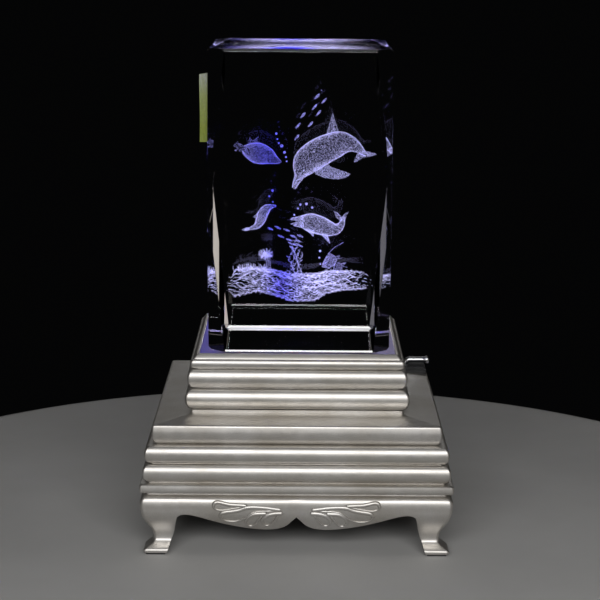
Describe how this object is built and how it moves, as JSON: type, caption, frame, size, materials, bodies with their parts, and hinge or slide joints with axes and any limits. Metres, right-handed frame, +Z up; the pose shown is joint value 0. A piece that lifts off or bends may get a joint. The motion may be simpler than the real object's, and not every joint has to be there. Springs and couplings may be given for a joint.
{
  "type": "crystal light display",
  "caption": "Clear crystal block with an engraved sea scene, standing on a footed square light base whose top tier turns by motor, with a side lever switch and a sliding battery door.",
  "frame": {"origin": "on the table, at the centre of the square that the four feet stand on", "axes": "+Z up, -Y towards the front of the engraved scene, +X to the right seen from the front"},
  "size_m": [0.0856, 0.0856, 0.1356],
  "materials": {
    "crystal": "clear, polished",
    "engraving": "white laser points inside the glass",
    "label": "paper",
    "silver_shell": "silver paint, satin",
    "window": "translucent, frosted",
    "black_plastic": "fine texture",
    "white_plastic": "moulded",
    "steel": "bright",
    "lever_chrome": "polished",
    "contacts": "nickel plated",
    "cells": "printed sleeve, no lettering",
    "board": "solder resist",
    "led_lens": "clear lens",
    "led_lens_blue": "tinted lens",
    "rubber": "matt",
    "insulation": "flexible"
  },
  "bodies": {
    "base": {"lower_housing": "silver_shell", "skirt_frame": "silver_shell", "foot_pads": "rubber", "bottom_cover": "black_plastic", "cover_screws": "steel", "turntable_bush": "white_plastic", "led_post": "white_plastic", "led_board": "board", "leds_white": "led_lens", "led_blue": "led_lens_blue", "board_screws": "steel", "battery_holder": "black_plastic", "batteries": "cells", "battery_springs": "contacts", "battery_plates": "contacts", "gearbox_case": "white_plastic", "motor_can": "steel", "motor_screws": "steel", "switch_bezel": "black_plastic", "switch_body": "black_plastic", "switch_contacts": "contacts", "leads": "insulation"},
    "turntable": {"turntable_housing": "silver_shell", "light_window": "window", "turntable_floor": "black_plastic", "turntable_screws": "steel", "turntable_gear": "white_plastic", "retaining_ring": "steel"},
    "crystal": {"crystal_block": "crystal", "engraved_dolphins": "engraving", "engraved_fish": "engraving", "engraved_reef": "engraving", "price_label": "label"},
    "drive": {"output_shaft": "steel", "drive_pinion": "white_plastic"},
    "lever": {"switch_lever": "lever_chrome", "switch_cam": "white_plastic"},
    "door": {"battery_door": "black_plastic"}
  },
  "joints": [
    {"name": "turntable_spin", "type": "hinge", "parent": "base", "child": "turntable", "pos_m": [0, 0, 0.0379], "axis": [0, 0, 1], "continuous": true},
    {"name": "drive_spin", "type": "hinge", "parent": "base", "child": "drive", "pos_m": [0, 0.021, 0.03], "axis": [0, 0, 1], "continuous": true},
    {"name": "crystal_lift", "type": "slide", "parent": "turntable", "child": "crystal", "axis": [0, 0, 1], "range_m": [0, 0.09]},
    {"name": "lever_swing", "type": "hinge", "parent": "base", "child": "lever", "pos_m": [0.0326, 0.031, 0.0375], "axis": [0, 0, 1], "range_deg": [0, 60]},
    {"name": "door_slide", "type": "slide", "parent": "base", "child": "door", "axis": [1, 0, 0], "range_m": [0, 0.011]}
  ],
  "couplings": [
    {"joint": "drive_spin", "follows": "turntable_spin", "ratio": -3}
  ]
}
